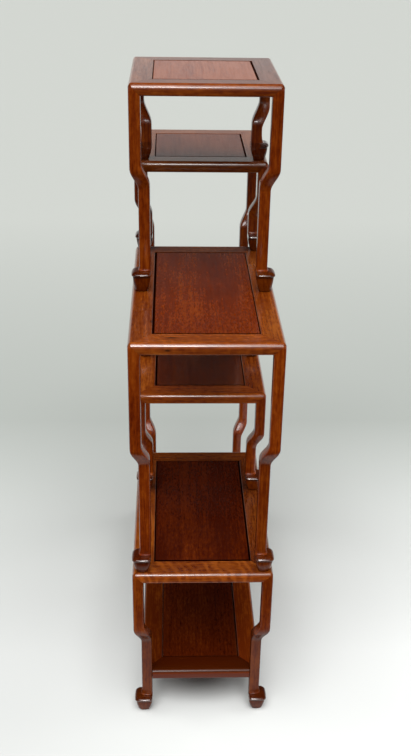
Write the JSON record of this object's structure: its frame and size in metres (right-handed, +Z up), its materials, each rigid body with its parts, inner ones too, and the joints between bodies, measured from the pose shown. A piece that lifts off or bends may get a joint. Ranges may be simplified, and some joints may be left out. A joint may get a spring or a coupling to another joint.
{
  "type": "display shelf",
  "caption": "Stepped hardwood display stand: staggered framed shelves on bent square legs that end in scrolled feet, open on all sides for showing vases, plants and ornaments.",
  "frame": {"origin": "on the floor, under the middle of the stand's length and depth", "axes": "+Z up; +X along the stand towards the end that the picture is taken from; +Y to the back, the front and back being alike"},
  "size_m": [0.772, 0.286, 1.293],
  "materials": {
    "rail_wood": "polished reddish-brown rosewood, straight grain along the rail",
    "panel_wood": "polished dark rosewood board with fine pores",
    "leg_wood": "polished reddish-brown rosewood, grain along the leg",
    "batten_wood": "plain wiped rosewood, unpolished underside"
  },
  "bodies": {
    "root": {"shelf_1_front_rail": "rail_wood", "shelf_1_back_rail": "rail_wood", "shelf_1_right_rail": "rail_wood", "shelf_1_left_rail": "rail_wood", "shelf_1_panel": "panel_wood", "shelf_1_batten_1": "batten_wood", "shelf_1_batten_2": "batten_wood", "shelf_2_front_rail": "rail_wood", "shelf_2_back_rail": "rail_wood", "shelf_2_right_rail": "rail_wood", "shelf_2_left_rail": "rail_wood", "shelf_2_panel": "panel_wood", "shelf_2_batten": "batten_wood", "shelf_2_leg_right_front": "leg_wood", "shelf_2_leg_right_back": "leg_wood", "shelf_2_leg_left_front": "leg_wood", "shelf_2_leg_left_back": "leg_wood", "shelf_3_front_rail": "rail_wood", "shelf_3_back_rail": "rail_wood", "shelf_3_right_rail": "rail_wood", "shelf_3_left_rail": "rail_wood", "shelf_3_panel": "panel_wood", "shelf_3_batten": "batten_wood", "shelf_3_leg_right_front": "leg_wood", "shelf_3_leg_right_back": "leg_wood", "shelf_3_leg_left_front": "leg_wood", "shelf_3_leg_left_back": "leg_wood", "shelf_4_front_rail": "rail_wood", "shelf_4_back_rail": "rail_wood", "shelf_4_right_rail": "rail_wood", "shelf_4_left_rail": "rail_wood", "shelf_4_panel": "panel_wood", "shelf_4_batten": "batten_wood", "shelf_4_leg_right_front": "leg_wood", "shelf_4_leg_right_back": "leg_wood", "shelf_4_leg_left_front": "leg_wood", "shelf_4_leg_left_back": "leg_wood", "shelf_5_front_rail": "rail_wood", "shelf_5_back_rail": "rail_wood", "shelf_5_right_rail": "rail_wood", "shelf_5_left_rail": "rail_wood", "shelf_5_panel": "panel_wood", "shelf_5_batten": "batten_wood", "shelf_5_leg_right_front": "leg_wood", "shelf_5_leg_right_back": "leg_wood", "shelf_5_leg_left_front": "leg_wood", "shelf_5_leg_left_back": "leg_wood", "shelf_6_front_rail": "rail_wood", "shelf_6_back_rail": "rail_wood", "shelf_6_right_rail": "rail_wood", "shelf_6_left_rail": "rail_wood", "shelf_6_panel": "panel_wood", "shelf_6_batten": "batten_wood", "shelf_6_leg_right_front": "leg_wood", "shelf_6_leg_right_back": "leg_wood", "shelf_6_leg_left_front": "leg_wood", "shelf_6_leg_left_back": "leg_wood"}
  },
  "joints": []
}
